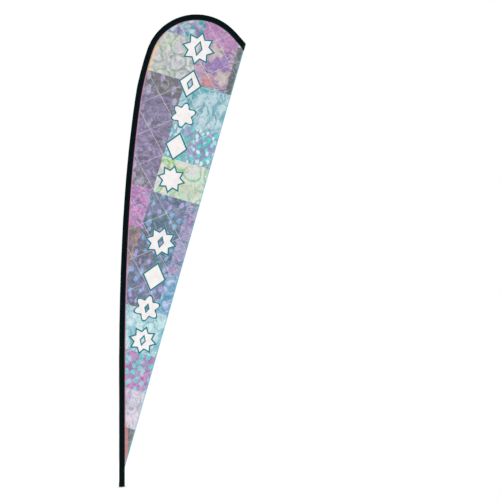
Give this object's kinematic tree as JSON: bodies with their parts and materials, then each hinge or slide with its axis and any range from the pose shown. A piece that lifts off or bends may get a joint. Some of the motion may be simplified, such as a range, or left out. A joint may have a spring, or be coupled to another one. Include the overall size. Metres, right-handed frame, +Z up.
{
  "type": "teardrop flag",
  "caption": "Two-sided printed teardrop flag with a black pole sleeve on a bent sectional pole, which turns on a flanged spindle.",
  "frame": {"origin": "centre of the spindle's flat foot, on the axis that the flag turns about", "axes": "+X from the pole towards the trailing edge, +Y towards the back of the sail (its front faces -Y), +Z up along the lower tube"},
  "size_m": [0.792, 0.0266, 2.9482],
  "materials": {
    "steel": "brushed",
    "aluminium": "satin anodised",
    "nylon": "moulded, black",
    "fibreglass": "wrapped fibreglass, dark grey",
    "black_cloth": "woven polyester, black",
    "webbing": "woven tape, black",
    "print_cloth": "knitted polyester, patchwork print",
    "liner": "dark grey blockout cloth",
    "thread": "polyester thread, black",
    "pale_thread": "polyester thread, pale grey"
  },
  "bodies": {
    "base_pin": {"spindle": "steel", "thrust_washer": "nylon", "retaining_washer": "steel", "retaining_screw": "steel"},
    "lower_pole": {"foot_bush": "nylon", "top_bush": "nylon", "lower_tube": "aluminium", "lower_tube_collar": "steel"},
    "flag": {"second_tube": "fibreglass", "second_tube_stop": "steel", "second_tube_collar": "steel", "third_tube": "fibreglass", "third_tube_stop": "steel", "third_tube_collar": "steel", "tip_rod": "fibreglass", "tip_rod_stop": "steel", "tip_cap": "nylon", "pole_sleeve": "black_cloth", "sleeve_foot_hem": "black_cloth", "foot_webbing": "webbing", "nose_tape": "webbing", "nose_pad": "webbing", "front_print": "print_cloth", "back_print": "print_cloth", "blockout_liner": "liner", "trailing_hem_fold": "print_cloth", "seam_thread_front_outer": "thread", "seam_thread_front_inner": "thread", "seam_thread_back_outer": "thread", "seam_thread_back_inner": "thread", "hem_thread_front": "pale_thread", "hem_thread_back": "pale_thread"}
  },
  "joints": [
    {"name": "flag_turn", "type": "hinge", "parent": "base_pin", "child": "lower_pole", "pos_m": [0, 0, 0], "axis": [0, 0, 1], "continuous": true},
    {"name": "flag_lift", "type": "slide", "parent": "lower_pole", "child": "flag", "axis": [0, 0, 1], "range_m": [0, 0.1]}
  ]
}
